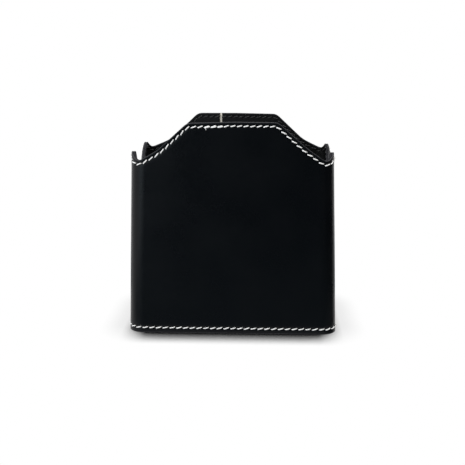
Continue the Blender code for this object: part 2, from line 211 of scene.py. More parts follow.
def plain_weave(tree, spot, yarn_mm=0.45):
    """Threads over and under each other, drawn a little coarse so that they show."""
    warp, weft = [
        add_node(tree, "ShaderNodeTexWave", {"Vector": spot},
                 {"Scale": 0.5 / (yarn_mm * MM) / 3.14, "Distortion": 0.4}, bands_direction=way)
        for way in ("X", "Z")]
    return add_node(tree, "ShaderNodeMath", {0: warp.outputs["Fac"], 1: weft.outputs["Fac"]},
                    operation="MULTIPLY").outputs[0]


def fibres(size_mm, swirl):
    """Matted fibres of a size, the more tangled the larger the swirl."""
    return lambda tree, spot: add_node(
        tree, "ShaderNodeTexNoise", {"Vector": spot},
        {"Scale": 1 / (size_mm * MM), "Detail": 6.0, "Distortion": swirl}).outputs["Fac"]


# %% Thread, tape, felt, board and nickel
def relief_shaded_material(name, pattern, low, high, strength, depth_mm, **constants):
    """A matt finish whose pattern is both its relief and its colour, painted darker in the hollows
    as shade and lighter on the crests as light.
    """
    made, tree, shader, spot = new_material(name)
    height = pattern(tree, spot)
    bump = add_node(tree, "ShaderNodeBump", {"Height": height},
                    {"Strength": strength, "Distance": depth_mm * MM})
    # Painted light and shade: the colour follows the relief, the low colour in the hollows and the
    # high colour on the crests.
    colour = add_node(tree, "ShaderNodeMixRGB", {"Fac": height},
                      {"Color1": linear(low), "Color2": linear(high)})
    for socket, value in constants.items():
        shader.inputs[socket.replace("_", " ")].default_value = value
    feed(tree, shader, {"Base Color": colour, "Normal": bump})
    return made


def nickel_material():
    """Nickel plate on brass: a warm grey mirror, hazed in patches by handling."""
    made, tree, shader, spot = new_material("nickel_plate")
    wear = add_node(tree, "ShaderNodeTexNoise", {"Vector": spot},
                    {"Scale": 1 / (2.5 * MM), "Detail": 5.0})
    rough = add_node(tree, "ShaderNodeMapRange", {"Value": wear.outputs["Fac"]},
                     {"From Min": 0.3, "From Max": 0.75, "To Min": 0.18, "To Max": 0.38})
    colour = add_node(tree, "ShaderNodeMixRGB", {"Fac": wear.outputs["Fac"]},
                      {"Color1": linear("#cfc9bd"), "Color2": linear("#b4aea2")})
    shader.inputs["Metallic"].default_value = 1.0
    feed(tree, shader, {"Base Color": colour, "Roughness": rough})
    return made


# Waxed linen is bright white, with a shadow between its plies. The bobbin thread is dyed black.
white_thread = relief_shaded_material("waxed_linen_thread", plies, "#e3e0da", "#ffffff", 0.8, 0.12,
                             Roughness=0.6, Sheen_Weight=0.15)
black_thread = relief_shaded_material("black_bobbin_thread", plies, "#050505", "#0b0b0c", 0.8, 0.12,
                             Roughness=0.6, Sheen_Weight=0.15)
# Unbleached cotton: off-white and matt, painted darker as shade where one yarn dips under the
# other.
cotton = relief_shaded_material("cotton_tape", plain_weave, "#bdb6a8", "#f4efe4", 0.7, 0.1, Roughness=0.9)
# Felt: charcoal, painted paler on its raised fibres and darker in their hollows as light and
# shade, with a soft sheen of loose fibres at grazing angles.
felt = relief_shaded_material("black_wool_felt", fibres(0.5, 1.5), "#09090a", "#1d1d1f", 0.9, 0.25,
                     Roughness=0.95, Sheen_Weight=0.3, Sheen_Roughness=0.5)
# Pressed fibre board: brown grey, with long fibres lying flat, painted lighter on their tops and
# darker between them as light and shade.
fibre = relief_shaded_material("grey_fibre_board", fibres(1.4, 2.0), "#5c564c", "#7d7568", 0.5, 0.08,
                      Roughness=0.85)
nickel = nickel_material()
print(f"{len(bpy.data.materials)} materials so far")

# %% [markdown]
# ## The top edge
# The flat cut is drawn in two directions only: along the wall and up. Its top edge is a chain of
# straight cuts whose corners are rounded, as a leather worker rounds them with a punch. The same
# quarter is mirrored four times, because front and back are alike, and so are both sides. A
# hand-cut edge is never quite the same twice, so each quarter has its own small trim.


# %% Draw the top edge
def place_at(x, height):
    """The place along the wall, in the first quarter, that ends up at x after folding."""
    flat = FRONT_FLAT - LEAN * height
    if x <= flat:
        return x / flat * FRONT_FLAT
    return FRONT_FLAT + CORNER * math.asin((x - flat) / CORNER)


def rounded(corners, step=math.radians(6)):
    """An outline through (place, height, radius) corners, with each radius as short chords."""
    outline = [corners[0][:2]]
    for before, here, after in zip(corners, corners[1:], corners[2:]):
        centre = Vector(here[:2])
        back = (Vector(before[:2]) - centre).normalized()
        ahead = (Vector(after[:2]) - centre).normalized()
        turn = math.pi - back.angle(ahead)
        reach = here[2] * math.tan(turn / 2)
        middle = centre + (back + ahead).normalized() * here[2] / math.cos(turn / 2)
        start = (centre + back * reach - middle).normalized()
        end = (centre + ahead * reach - middle).normalized()
        count = max(2, math.ceil(turn / step))
        outline += [tuple(middle + start.slerp(end, i / count) * here[2])
                    for i in range(count + 1)]
    return outline + [corners[-1][:2]]


# Each quarter's own trim: peak height at its end, half width, then shoulder, dip and ear height,
# and its ear's extra rounding.
HAND_TRIM = (
    (-0.2, 0.0, 2.0, 0.3, 0.0, 0.0),
    (-0.5, 0.0, 0.8, 0.4, -0.5, 3.0),
    (0.0, -1.1, 0.3, 0.7, 0.3, 3.0),
    (-0.7, -0.6, 0.6, 0.4, 0.2, 0.0),
)


def quarter_outline(end, half_width, shoulder, dip, ear, rounder):
    """One quarter of the top edge, from the middle of a peak to the middle of a scoop."""
    peak_end, shoulder_height = HEIGHT + end, SHOULDER_HEIGHT + shoulder
    return np.array(rounded([
        (0.0, HEIGHT, 0.0),
        (place_at(PEAK_HALF_WIDTH + half_width, peak_end), peak_end, PEAK_ROUND),
        (place_at(SHOULDER_OUT, shoulder_height), shoulder_height, HOLLOW_ROUND),
        (place_at(DIP_OUT, DIP_HEIGHT + dip), DIP_HEIGHT + dip, DIP_ROUND),
        (FRONT_FLAT + CORNER_ARC + EAR_PAST_CORNER, EAR_HEIGHT + ear, EAR_ROUND + rounder),
        (QUARTER - SCOOP_HALF_FLAT, SCOOP_HEIGHT, SCOOP_ROUND),
        (QUARTER, SCOOP_HEIGHT, 0.0),
    ]))


quarters = [quarter_outline(*trim) for trim in HAND_TRIM]


def edge_height(place):
    """Height of the top edge at places along the wall, all the way round."""
    around = np.mod(place, PERIMETER)
    folded = np.mod(around, 2 * QUARTER)
    folded = np.minimum(folded, 2 * QUARTER - folded)
    heights = np.zeros_like(folded)
    for part, outline in enumerate(quarters):
        here = np.minimum(around // QUARTER, 3) == part
        heights = np.where(here, np.interp(folded, outline[:, 0], outline[:, 1]), heights)
    return heights


def run_below_edge(margin, start, stop, step=0.25):
    """The line that runs margin below the edge, square to it, as points a step apart."""
    place = np.arange(start, stop + step, step)
    rise = (edge_height(place + 0.05) - edge_height(place - 0.05)) / 0.1
    size = np.hypot(1.0, rise)
    line = np.stack([place + margin * rise / size, edge_height(place) - margin / size], 1)
    ahead = np.concatenate([[True], np.diff(np.maximum.accumulate(line[:, 0])) > 1e-6])
    return line[ahead]


print(f"top edge dips to {min(outline[:, 1].min() for outline in quarters):.1f} mm")

# %% [markdown]
# ## Folding, as Geometry Nodes
# The wall is folded round a former: a rounded rectangle. In the flat cut, X is the way along the
# wall, Y the depth into the leather and Z the height. The tree below samples the former's curve
# at that length, steps inward by the depth, and leans the sides in. It could be done with plain
# Python on every vertex, but as nodes it also works on seams, and it stays adjustable.


# %% The former and the folding tree
def plan_point(place, inset=0.0):
    """A point of the plan at the foot, in mm, for a place along the wall."""
    part = int((place % PERIMETER) // QUARTER)
    u = place % PERIMETER - part * QUARTER
    u = QUARTER - u if part % 2 else u
    if u <= FRONT_FLAT:
        x, y = u, SIDE_FLAT + CORNER - inset
    elif u <= FRONT_FLAT + CORNER_ARC:
        angle = (u - FRONT_FLAT) / CORNER
        x = FRONT_FLAT + (CORNER - inset) * math.sin(angle)
        y = SIDE_FLAT + (CORNER - inset) * math.cos(angle)
    else:
        x, y = FRONT_FLAT + CORNER - inset, QUARTER - u
    return (x if part in (0, 1) else -x, -y if part in (0, 3) else y)


def plan_curve():
    """The former: a closed curve that starts at the middle of the front and runs towards +X."""
    guard, corner_steps = 0.4, 32
    lengths = [0.0, FRONT_FLAT - guard]
    lengths += [FRONT_FLAT + CORNER_ARC * i / corner_steps for i in range(corner_steps + 1)]
    lengths += [FRONT_FLAT + CORNER_ARC + guard]
    around = lengths + [2 * QUARTER - u for u in reversed(lengths)][:-1]
    around += [2 * QUARTER + u for u in lengths] + [PERIMETER - u for u in reversed(lengths)][:-1]
    curve = bpy.data.curves.new("former", "CURVE")
    curve.dimensions = "3D"
    spline = curve.splines.new("POLY")
    spline.points.add(len(around) - 1)
    for point, u in zip(spline.points, around):
        point.co = (*[c * MM for c in plan_point(u)], 0.0, 1.0)
    spline.use_cyclic_u = True
    former = bpy.data.objects.new("former", curve)
    bpy.context.scene.collection.objects.link(former)
    former.hide_render = True
    return former


def end_tree(tree, geometry, material):
    """Ends a tree in Realize Instances and Set Material."""
    real = add_node(tree, "GeometryNodeRealizeInstances", {"Geometry": geometry})
    finish = add_node(tree, "GeometryNodeSetMaterial", {"Geometry": real, "Material": material})
    add_node(tree, "NodeGroupOutput", {0: finish})
    return tree


def new_tree(name, inputs):
    """An empty geometry tree with a geometry in and out and the named inputs."""
    tree = bpy.data.node_groups.new(name, "GeometryNodeTree")
    tree.interface.new_socket("Geometry", in_out="INPUT", socket_type="NodeSocketGeometry")
    for label, kind, value in inputs:
        socket = tree.interface.new_socket(label, in_out="INPUT", socket_type=kind)
        if value is not None:
            socket.default_value = value
    tree.interface.new_socket("Geometry", in_out="OUTPUT", socket_type="NodeSocketGeometry")
    return tree, add_node(tree, "NodeGroupInput").outputs


def folding_tree():
    """Folds points of the flat cut: X along the wall, Y into the leather, Z up."""
    tree, given = new_tree("fold_round_former", [
        ("Former", "NodeSocketObject", None),
        ("Perimeter", "NodeSocketFloat", PERIMETER * MM),
        ("Front flat", "NodeSocketFloat", FRONT_FLAT * MM),
        ("Lean", "NodeSocketFloat", LEAN),
    ])
    place = add_node(tree, "GeometryNodeInputPosition")
    flat = add_node(tree, "ShaderNodeSeparateXYZ", {0: place})
    along = add_node(tree, "ShaderNodeMath", {0: flat.outputs["X"], 1: given["Perimeter"]},
                     operation="FLOORED_MODULO")
    shape = add_node(tree, "GeometryNodeObjectInfo", {"Object": given["Former"]})
    sample = add_node(tree, "GeometryNodeSampleCurve",
                      {"Curves": shape.outputs["Geometry"], "Length": along},
                      mode="LENGTH", use_all_curves=True)
    outward = add_node(tree, "ShaderNodeVectorMath", {0: sample.outputs["Tangent"]},
                       {1: (0, 0, 1)}, operation="CROSS_PRODUCT")
    step_in = add_node(tree, "ShaderNodeVectorMath",
                       {0: outward, "Scale": flat.outputs["Y"]}, operation="SCALE")
    upright = add_node(tree, "ShaderNodeVectorMath",
                       {0: sample.outputs["Position"], 1: step_in}, operation="SUBTRACT")
    stood = add_node(tree, "ShaderNodeSeparateXYZ", {0: upright})
    share = add_node(tree, "ShaderNodeMath", {0: stood.outputs["X"], 1: given["Front flat"]},
                     operation="DIVIDE")
    side = add_node(tree, "ShaderNodeClamp", {"Value": share}, {"Min": -1.0, "Max": 1.0})
    leaning = add_node(tree, "ShaderNodeMath", {0: flat.outputs["Z"], 1: given["Lean"]},
                       operation="MULTIPLY")
    moved = add_node(tree, "ShaderNodeMath", {0: side, 1: leaning},
                     operation="MULTIPLY")
    x = add_node(tree, "ShaderNodeMath", {0: stood.outputs["X"], 1: moved},
                 operation="SUBTRACT")
    folded = add_node(tree, "ShaderNodeCombineXYZ", {
        "X": x, "Y": stood.outputs["Y"], "Z": flat.outputs["Z"]})
    put = add_node(tree, "GeometryNodeSetPosition",
                   {"Geometry": given["Geometry"], "Position": folded})
    add_node(tree, "NodeGroupOutput", {0: put})
    return tree


def folded_sheet_tree():
    """Folds one flat sheet with the tree above and gives it its finish."""
    tree, given = new_tree("folded_sheet", [
        ("Former", "NodeSocketObject", None),
        ("Finish", "NodeSocketMaterial", None),
    ])
    around = add_node(tree, "GeometryNodeGroup", {
        "Geometry": given["Geometry"], "Former": given["Former"]}, node_tree=fold)
    return end_tree(tree, around, given["Finish"])


former = plan_curve()
fold = folding_tree()
fold_sheet = folded_sheet_tree()
print(f"folding tree has {len(fold.nodes)} nodes")

# %% [markdown]
# ## Running a tree and keeping the result
# A tree is run as a modifier, and its inputs are set by the socket's identifier. The evaluated
# result is then copied to a plain mesh, so that nothing live is left on a finished piece.


# %% Run a tree on a piece
def piece_from_tree(name, source, tree, **inputs):
    """Runs a tree on the source object and returns the result as a new plain mesh object."""
    run = source.modifiers.new("run", "NODES")
    run.node_group = tree
    for item in tree.interface.items_tree:
        if item.in_out == "INPUT" and item.name in inputs:
            run[item.identifier] = inputs[item.name]
    bpy.context.view_layer.update()
    graph = bpy.context.evaluated_depsgraph_get()
    mesh = bpy.data.meshes.new_from_object(source.evaluated_get(graph))
    bpy.data.objects.remove(source)
    mesh.name = name
    made = bpy.data.objects.new(name, mesh)
    bpy.context.scene.collection.objects.link(made)
    return made


def bands(rings, size, closed=False):
    """Faces between neighbouring rings of points; closed joins the last ring to the first."""
    faces = []
    for r in range(rings if closed else rings - 1):
        here, there = r * size, (r + 1) % rings * size
        for i in range(size):
            k = (i + 1) % size
            faces.append((here + i, here + k, there + k, there + i))
    return faces


def mesh_object(name, points, faces, edges=()):
    """A plain mesh object in the scene, from points in metres."""
    mesh = bpy.data.meshes.new(name)
    mesh.from_pydata(points, edges, faces)
    made = bpy.data.objects.new(name, mesh)
    bpy.context.scene.collection.objects.link(made)
    return made


# %% [markdown]
# ## Where the needle goes through
# Every stitch ends in a hole, and the pulled thread sinks the leather round it. So the places of
# the stitches come before the leather: each seam is a line on the flat cut, split into equal
# stitches. The leather's relief is worked out from them, as a groove along the line and a dimple
# at each hole.


# %% Seam lines and their holes
def split_evenly(line, pitch):
    """The ends of equal stitches along a flat line, close to the wanted pitch."""
    run = np.concatenate([[0], np.cumsum(np.hypot(*np.diff(line, axis=0).T))])
    count = round(run[-1] / pitch)
    at = np.linspace(0, run[-1], count + 1)
    return np.stack([np.interp(at, run, line[:, 0]), np.interp(at, run, line[:, 1])], 1)


seam_start, seam_stop = JOINT + 0.6, JOINT + PERIMETER - 0.6
top_line = run_below_edge(SEAM_MARGIN, seam_start, seam_stop)
foot_line = np.array([[seam_start, FOOT_SEAM], [seam_stop, FOOT_SEAM]])
row_top = HEIGHT - SEAM_MARGIN - SEAM_ROW_STOP
row_lines = [np.array([[JOINT + side, SEAM_ROW_START], [JOINT + side, row_top]])
             for side in (-SEAM_ROW_OFFSET, SEAM_ROW_OFFSET)]
top_holes = split_evenly(top_line, STITCH_PITCH)
foot_holes = split_evenly(foot_line, STITCH_PITCH)
row_holes = [split_evenly(line, STITCH_PITCH) for line in row_lines]
print(f"{len(top_holes) - 1} stitches along the top seam, {len(foot_holes) - 1} along the foot")


def turns_of(points):
    """The same flat points one perimeter back and forth, as the cut is open and the wall round."""
    return np.concatenate([points, points - [PERIMETER, 0], points + [PERIMETER, 0]])


def nearest(points, targets):
    """Distance from each flat point to its nearest target."""
    tree = kdtree.KDTree(len(targets))
    for i, (x, z) in enumerate(targets):
        tree.insert((x, 0, z), i)
    tree.balance()
    return np.array([tree.find((x, 0, z))[2] for x, z in points])


def seam_relief(points, lines, holes, groove=0.16, dimple=0.30):
    """How deep the leather is pulled in at flat points, in mm."""
    dense = np.concatenate([split_evenly(line, 0.4) for line in lines])
    to_line = nearest(points, turns_of(dense))
    to_hole = nearest(points, turns_of(np.concatenate(holes)))
    return groove * np.exp(-((to_line / 0.85) ** 2)) + dimple * np.exp(-((to_hole / 0.6) ** 2))


# %% [markdown]
# ## Cutting the leather
# A panel is a closed slab: an outer face, a rounded top edge, an inner face and a foot. Its rows
# stand close together where the seams are and far apart where the leather is plain, so that the
# dimples are real shape and the mesh stays light. Each point also notes how close it is to the
# cut edge, for the finish.


# %% Cut a flat panel
def row_heights(places, foot, near_foot, near_top, middle_rows):
    """Heights of a face's rows, as an array of rows by places."""
    top = edge_height(places)
    slope = np.abs(edge_height(places + 0.4) - edge_height(places - 0.4)) / 0.8
    steep = np.minimum(np.hypot(1.0, slope), 1.5)
    rows = [np.full_like(places, foot + h) for h in near_foot]
    upper = [top - t * (1 + (steep - 1) * min(1.0, t / 1.0)) for t in near_top]
    for i in range(1, middle_rows + 1):
        share = i / (middle_rows + 1)
        rows.append(rows[len(near_foot) - 1] * (1 - share) + upper[0] * share)
    return np.array(rows + upper)


def rounding(distance, radius):
    """How far a rounded edge has drawn in, at a distance from the edge."""
    inside = np.clip(radius - distance, 0, radius)
    return radius - np.sqrt(radius**2 - inside**2)


def cut_panel(name, places, foot, layer, outer_rows, inner_rows, relief, radius, lip=None):
    """A flat slab of leather between two depths, open at the joint, with rounded edges."""
    count = len(places)
    top = edge_height(places)
    points, edge_share = [], []
    for side, rows in ((0, outer_rows), (1, inner_rows[::-1])):
        for heights in rows:
            to_edge = np.minimum(top - heights, heights - foot)
            drawn = rounding(to_edge, radius)
            depth = np.full(count, layer[side])
            if side == 0 and lip is not None:
                depth = depth + lip(places, top - heights)
            depth = depth + drawn if side == 0 else depth - drawn
            flat = np.stack([places, heights], 1)
            pulled = relief(side, flat)
            depth = depth + pulled if side == 0 else depth - pulled
            points.append(np.stack([places, depth, heights], 1))
            edge_share.append(np.clip(1 - (to_edge - radius * 0.5) / 0.5, 0, 1))
    grid = np.array(points)
    rings = len(grid)
    index = np.arange(rings * count).reshape(rings, count)
    following = np.roll(index, -1, axis=0)
    faces = np.stack([index[:, :-1], index[:, 1:], following[:, 1:], following[:, :-1]], -1)
    faces = faces.reshape(-1, 4).tolist()
    faces += [index[:, 0].tolist(), index[:, -1].tolist()[::-1]]
    panel = mesh_object(name, (grid.reshape(-1, 3) * MM).tolist(), faces)
    note = panel.data.attributes.new("cut_edge", "FLOAT", "POINT")
    note.data.foreach_set("value", np.array(edge_share, np.float32).ravel())
    return panel


def waviness(flat, amount, size):
    """Slow unevenness of a hide, in mm."""
    return np.array([noise.noise((x / size, z / size, 3.7)) for x, z in flat]) * amount


def wall_places(gap, columns):
    """Places of a panel's columns, from one side of the joint's gap right round to the other."""
    return np.linspace(JOINT + gap / 2, JOINT + PERIMETER - gap / 2, columns)


# Distances of the rows from the foot and from the top edge.
NEAR_FOOT = [0, 0.03, 0.1, 0.22, 0.4, 0.8, 1.3, 1.8, 2.25, 2.65,
             3.0, 3.4, 3.8, 4.2, 4.7, 5.4, 6.5, 8.5, 12]
NEAR_TOP = [14, 9, 6.5, 5.0, 4.2, 3.6, 3.2, 2.8, 2.5, 2.2,
            1.9, 1.6, 1.3, 1.0, 0.7, 0.4, 0.22, 0.1, 0.03, 0]
OUTSIDE, INSIDE = 0, 1  # a panel's two faces
outside_lines = [top_line, foot_line, *row_lines]
outside_holes = [top_holes, foot_holes, *row_holes]


def leather_relief(side, flat):
    """The wall's outer face has the seams and the hide's unevenness, its inner face has none."""
    if side == INSIDE:
        return np.zeros(len(flat))
    return seam_relief(flat, outside_lines, outside_holes) + waviness(flat, 0.12, 34.0)


def lining_relief(side, flat):
    """The lining shows its seam on the inside only."""
    if side == OUTSIDE:
        return np.zeros(len(flat))
    return seam_relief(flat, [top_line], [top_holes], groove=0.12, dimple=0.22)


def lining_lip(places, below_top):
    """The lining closes onto the leather along the edge, except over the joint's tape."""
    away = np.abs(np.mod(places - JOINT + PERIMETER / 2, PERIMETER) - PERIMETER / 2)
    near_edge = np.clip((1.6 - below_top) / 0.8, 0, 1)
    return (CLOSED_AT_EDGE - LINING[0]) * near_edge * np.clip((away - 5.5) / 2.0, 0, 1)


leather_places = wall_places(JOINT_GAP, 561)
lining_places = wall_places(LINING_SLIT, 481)
leather_cut = cut_panel(
    "wall_cut", leather_places, 0.0, LEATHER,
    row_heights(leather_places, 0.0, NEAR_FOOT, NEAR_TOP, 13),
    row_heights(leather_places, 0.0, [0, 0.1, 0.4, 20], [20, 0.4, 0.1, 0], 2),
    leather_relief, 0.4,
)
lining_cut = cut_panel(
    "lining_cut", lining_places, LINING_FOOT, LINING,
    row_heights(lining_places, LINING_FOOT, [0, 0.3], [8, 1.8, 1.2, 0.7, 0.3, 0.1, 0], 2),
    row_heights(lining_places, LINING_FOOT, [0, 0.15, 0.3, 3], NEAR_TOP, 10),
    lining_relief, 0.3, lining_lip,
)
# The lining's slit is frayed open a little below its top.
FRAY, FRAY_BELOW_TOP, FRAY_SPREAD = 0.85, 5.5, 2.6
for vertex in lining_cut.data.vertices:
    x, z = vertex.co.x / MM, vertex.co.z / MM
    flare = FRAY * math.exp(-(((HEIGHT - z - FRAY_BELOW_TOP) / FRAY_SPREAD) ** 2)) - 0.05
    if abs(x - lining_places[0]) < 0.01:
        vertex.co.x += flare * MM
    elif abs(x - lining_places[-1]) < 0.01:
        vertex.co.x -= flare * MM
print(f"wall cut has {len(leather_cut.data.polygons)} faces")

# %% Fold both panels
wall = piece_from_tree("leather_wall", leather_cut, fold_sheet, Former=former, Finish=calf)
lining = piece_from_tree("skiver_lining", lining_cut, fold_sheet, Former=former, Finish=skiver)


def relax_ears(piece):
    """The two back ears spring out below and curl back in at their tips, as nothing holds them."""
    levels = (80.0, 87.0, 94.0, 99.0, 105.0)
    out = {-1: (0.0, 1.1, 2.6, 1.9, 0.7), 1: (0.0, 0.8, 1.9, 1.8, 0.3)}  # left and right ear
    for vertex in piece.data.vertices:
        x, y, z = vertex.co / MM
        # Nothing moves nearer the middle than y 4 or x 40, and all of it beyond y 30 and x 54.
        free = [min(1.0, max(0.0, share)) for share in ((y - 4) / 26, (abs(x) - 40) / 14)]
        spring = math.prod(t * t * (3 - 2 * t) for t in free)
        side = -1 if x < 0 else 1
        vertex.co.x += side * spring * float(np.interp(z, levels, out[side])) * MM


for folded in (wall, lining):
    relax_ears(folded)
    folded.data.shade_smooth()
    folded.data.set_sharp_from_angle(angle=math.radians(50))
print(f"folded wall is {wall.dimensions.x / MM:.1f} x {wall.dimensions.y / MM:.1f} mm")

# %% [markdown]
# ## Stitches
# A saddle stitch shows as a short fat dash, a little aslant, that dives into a hole at each end.
# One dash is modelled and Geometry Nodes repeat it along the seam's flat line: resample the line,
# put a dash on each point, turn it along the line plus the slant, vary it a little from a fixed
# seed, and fold the whole run with the same tree as the leather.


# %% One stitch
def stitch_object(name, length, thickness, sides=8, rings=9):
    """A dash of thread along X that arches out of the leather (towards -Y), with a UV map."""
    points, uvs = [], []
    for i in range(rings):
        t = -1 + 2 * i / (rings - 1)
        x = t * length / 2
        rise = 0.36 * thickness * (1 - abs(t) ** 3) - 0.42 * abs(t) ** 5
        radius = thickness / 2 * (1 - 0.28 * t**4)
        for j in range(sides):
            a = 2 * math.pi * j / sides
            points.append((x, -rise - radius * math.cos(a) * 0.92, radius * math.sin(a)))
            uvs.append((i / (rings - 1), j / sides))
    faces = bands(rings, sides)
    faces.append(tuple(range(sides))[::-1])
    faces.append(tuple((rings - 1) * sides + j for j in range(sides)))
    made = mesh_object(name, [(x * MM, y * MM, z * MM) for x, y, z in points], faces)
    bm = bmesh.new()
    bm.from_mesh(made.data)
    bmesh.ops.recalc_face_normals(bm, faces=bm.faces)
    layer = bm.loops.layers.uv.new("thread")
    for face in bm.faces:
        for loop in face.loops:
            u, v = uvs[loop.vert.index]
            wraps = v == 0 and any(uvs[other.index][1] > 0.6 for other in face.verts)
            loop[layer].uv = (u, 1.0 if wraps else v)
    bm.to_mesh(made.data)
    bm.free()
    made.data.shade_smooth()
    made.hide_render = True
    return made


# %% The stitching tree
FLOAT_MIN, FLOAT_MAX, FLOAT_VALUE = 2, 3, 1  # a Random Value node's sockets for plain numbers


def stitching_tree():
    """Dashes along a flat line, every second point of it, folded round the former."""
    tree, given = new_tree("stitch_run", [
        ("Stitch", "NodeSocketObject", None),
        ("Count", "NodeSocketInt", 90),
        ("Slant", "NodeSocketFloat", math.radians(15)),
        ("Slant spread", "NodeSocketFloat", math.radians(3)),
        ("Size spread", "NodeSocketFloat", 0.04),
        ("Seed", "NodeSocketInt", 1),
        ("Former", "NodeSocketObject", None),
        ("Thread", "NodeSocketMaterial", None),
    ])
    line = add_node(tree, "GeometryNodeMeshToCurve", {"Mesh": given["Geometry"]})
    halves = add_node(tree, "ShaderNodeMath", {0: given["Count"]}, {1: 2.0, 2: 1.0},
                      operation="MULTIPLY_ADD")
    run = add_node(tree, "GeometryNodeResampleCurve", {"Curve": line, "Count": halves})
    index = add_node(tree, "GeometryNodeInputIndex")
    parity = add_node(tree, "ShaderNodeMath", {0: index}, {1: 2.0}, operation="MODULO")
    tangent = add_node(tree, "GeometryNodeInputTangent")
    kept = add_node(tree, "GeometryNodeCaptureAttribute", {"Geometry": run})
    kept.capture_items.new("VECTOR", "way")
    tree.links.new(tangent.outputs[0], kept.inputs[1])
    places = add_node(tree, "GeometryNodeCurveToPoints", {"Curve": kept.outputs["Geometry"]},
                      mode="EVALUATED")
    way = add_node(tree, "ShaderNodeSeparateXYZ", {0: kept.outputs[1]})
    climb = add_node(tree, "ShaderNodeMath", {0: way.outputs["Z"], 1: way.outputs["X"]},
                     operation="ARCTAN2")
    low = add_node(tree, "ShaderNodeMath", {0: given["Slant"], 1: given["Slant spread"]},
                   operation="SUBTRACT")
    high = add_node(tree, "ShaderNodeMath", {0: given["Slant"], 1: given["Slant spread"]},
                    operation="ADD")
    slant = add_node(tree, "FunctionNodeRandomValue",
                     {FLOAT_MIN: low, FLOAT_MAX: high, "Seed": given["Seed"]}, data_type="FLOAT")
    angle = add_node(tree, "ShaderNodeMath", {0: climb, 1: slant.outputs[FLOAT_VALUE]},
                     operation="ADD")
    turned = add_node(tree, "ShaderNodeMath", {0: angle}, {1: -1.0}, operation="MULTIPLY")
    turn = add_node(tree, "ShaderNodeCombineXYZ", {"Y": turned})
    shrink = add_node(tree, "ShaderNodeMath", {1: given["Size spread"]}, {0: 1.0},
                      operation="SUBTRACT")
    grow = add_node(tree, "ShaderNodeMath", {1: given["Size spread"]}, {0: 1.0}, operation="ADD")
    size = add_node(tree, "FunctionNodeRandomValue",
                    {FLOAT_MIN: shrink, FLOAT_MAX: grow, "Seed": given["Seed"]},
                    data_type="FLOAT")
    dash = add_node(tree, "GeometryNodeObjectInfo", {"Object": given["Stitch"]})
    put = add_node(tree, "GeometryNodeInstanceOnPoints", {
        "Points": places.outputs["Points"], "Selection": parity,
        "Instance": dash.outputs["Geometry"], "Rotation": turn,
        "Scale": size.outputs[FLOAT_VALUE]})
    real = add_node(tree, "GeometryNodeRealizeInstances", {"Geometry": put})
    around = add_node(tree, "GeometryNodeGroup", {
        "Geometry": real, "Former": given["Former"]}, node_tree=fold)
    return end_tree(tree, around, given["Thread"])


stitch_run = stitching_tree()
print(f"stitching tree has {len(stitch_run.nodes)} nodes")


# %% [markdown]
# ## Sewing
# Two seams run all round: one under the top edge through leather and lining, one at the foot
# through leather and base. Two upright rows hold the joint at the back. Outside they are white;
# inside, the bobbin thread is black, so the same tree runs again at the inner depth with a dash
# that bulges the other way. Each seam is one piece, so a seam can be given another thread.

# %% Sew the seams
def sew(name, line, depth, stitch, thread, seed, slant):
    """A run of stitches along a flat line at a depth, folded round the former."""
    flat = [(x * MM, depth * MM, z * MM) for x, z in line]
    path = mesh_object(name + "_line", flat, [], [(i, i + 1) for i in range(len(flat) - 1)])
    run = np.hypot(*np.diff(line, axis=0).T).sum()
    return piece_from_tree(
        name, path, stitch_run, Stitch=stitch, Count=max(1, round(run / STITCH_PITCH)), Seed=seed,
        Slant=slant, Former=former, Thread=thread,
    )


TOP_SLANT, ROW_SLANT, TACK_SLANT = math.radians(15), math.radians(12), math.radians(9)
TRAY_OUTSIDE, TRAY_INSIDE = 1.42, 2.8  # the tray's rim, in from the outside of the wall
dash = stitch_object("stitch_dash", STITCH_LENGTH, THREAD)
bobbin_dash = stitch_object("bobbin_dash", STITCH_LENGTH, THREAD * 0.85)
bobbin_dash.data.transform(((1, 0, 0, 0), (0, -1, 0, 0), (0, 0, 1, 0), (0, 0, 0, 1)))
bobbin_dash.data.flip_normals()
seams = {node: sew(*run) for node, run in {
    "top_stitch_outside": ("top_stitches", top_line, 0.0, dash, white_thread, 3, TOP_SLANT),
    "foot_stitch_outside": ("foot_stitches", foot_line, 0.0, dash, white_thread, 5, TOP_SLANT),
    "top_stitch_inside": ("top_bobbin_stitches", top_line, LINING[1], bobbin_dash, black_thread,
                          7, -TOP_SLANT),
    "foot_stitch_inside": ("foot_bobbin_stitches", foot_line, TRAY_INSIDE, bobbin_dash,
                           black_thread, 9, -TOP_SLANT),
    "back_seam_stitch_left": ("back_stitches_left", row_lines[1], 0.0, dash, white_thread,
                              11, ROW_SLANT),
    "back_seam_stitch_right": ("back_stitches_right", row_lines[0], 0.0, dash, white_thread,
                               13, -ROW_SLANT),
}.items()}
# The seam is closed by sewing back over its last three stitches, and the thread is cut short.
tack = run_below_edge(SEAM_MARGIN + 0.28, PERIMETER - 16.6, PERIMETER - 5.0)
tail_line = np.array([[PERIMETER - 15.6, 117.9], [PERIMETER - 15.2, 116.4]])
stub = stitch_object("thread_stub", 1.6, 0.34)
extra = [
    sew("back_tack", tack, -0.12, dash, white_thread, 15, TACK_SLANT),
    sew("thread_end", tail_line, 0.05, stub, white_thread, 17, 0.0),
]
for piece in seams.values():
    relax_ears(piece)
    print(f"{piece.name}: {len(piece.data.polygons)} faces")

# %% [markdown]
# ## The base
# The floor of the case is a second piece of leather, soaked and pressed over a block until it is
# a shallow tray turned upside down. Its rim is sewn inside the foot of the wall, which leaves a
# recess for the knob of the screw. Its shape goes from a rounded rectangle at the rim to a round
# hole in the middle, so it is lofted as rings: each is the plan stepped inward, and the last few
# turn into circles.

# %% Loft rings between the plan and a hole
HOLE = 4.5  # radius of the tray's hole


